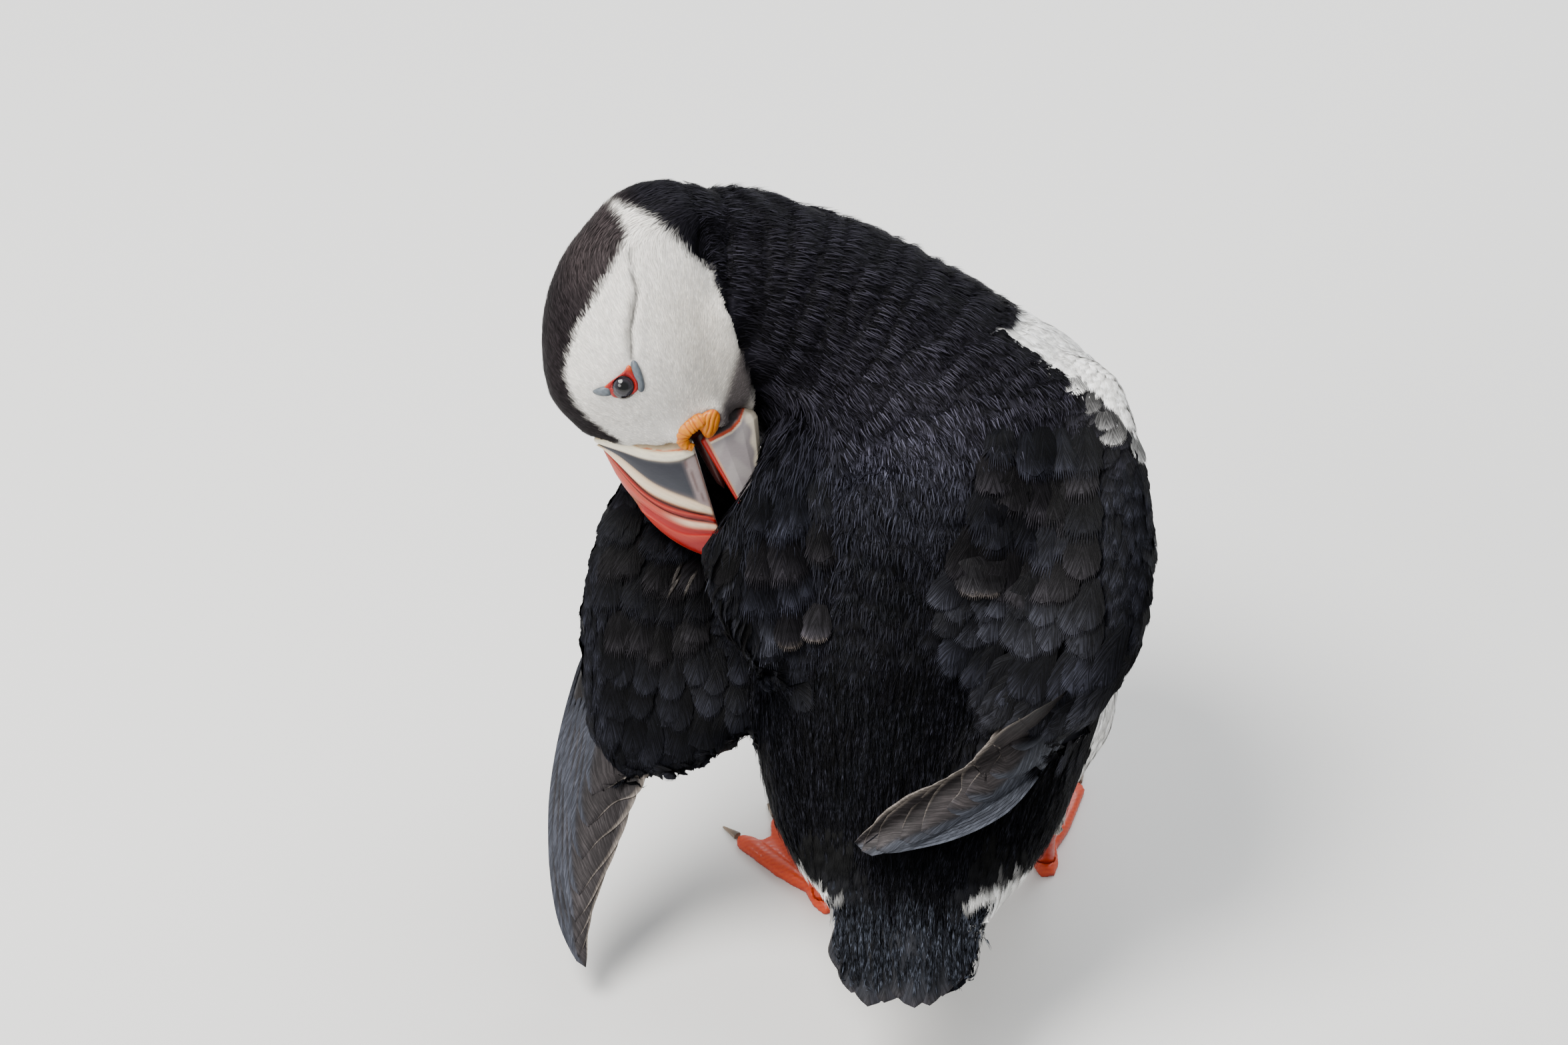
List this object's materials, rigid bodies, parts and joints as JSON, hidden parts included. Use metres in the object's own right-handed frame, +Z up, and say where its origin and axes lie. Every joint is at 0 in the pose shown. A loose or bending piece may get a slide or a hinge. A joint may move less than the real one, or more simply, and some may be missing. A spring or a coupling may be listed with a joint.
{
  "type": "atlantic puffin",
  "caption": "Still life-size Atlantic puffin standing on both webbed feet, head turned back over its left shoulder to preen, left wing drooped.",
  "frame": {"origin": "middle of the bird's box, on the floor under its feet", "axes": "+Z up, +Y the way the breast and feet face, +X to the bird's right"},
  "size_m": [0.1835, 0.2067, 0.2089],
  "materials": {
    "plumage_black": "black contour feathers with a blue-grey sheen",
    "plumage_white": "short white velvet feathers, greyer on the lower cheek",
    "flight_feather": "stiff slate-brown flight feathers with pale worn edges",
    "bill_horn": "horn plates in slate grey, ivory and orange red",
    "gape_skin": "wrinkled bare yellow-orange skin",
    "eye": "wet dark eye",
    "foot_skin": "scaly orange-red webbed skin",
    "claw_horn": "dark horn"
  },
  "bodies": {
    "root": {"trunk": "plumage_black", "neck": "plumage_black", "wing_left_arm": "plumage_black", "wing_right_arm": "plumage_black", "scapular_left": "plumage_black", "tail": "plumage_black", "head": "plumage_white", "thigh_left": "plumage_white", "thigh_right": "plumage_white", "wing_left_hand": "flight_feather", "wing_right_hand": "flight_feather", "bill_upper": "bill_horn", "bill_lower": "bill_horn", "rosette_left": "gape_skin", "rosette_right": "gape_skin", "eye_left": "eye", "eye_right": "eye", "tarsus_left": "foot_skin", "tarsus_right": "foot_skin", "foot_left": "foot_skin", "foot_right": "foot_skin", "claw_left_inner": "claw_horn", "claw_left_middle": "claw_horn", "claw_left_outer": "claw_horn", "claw_right_inner": "claw_horn", "claw_right_middle": "claw_horn", "claw_right_outer": "claw_horn"}
  },
  "joints": []
}
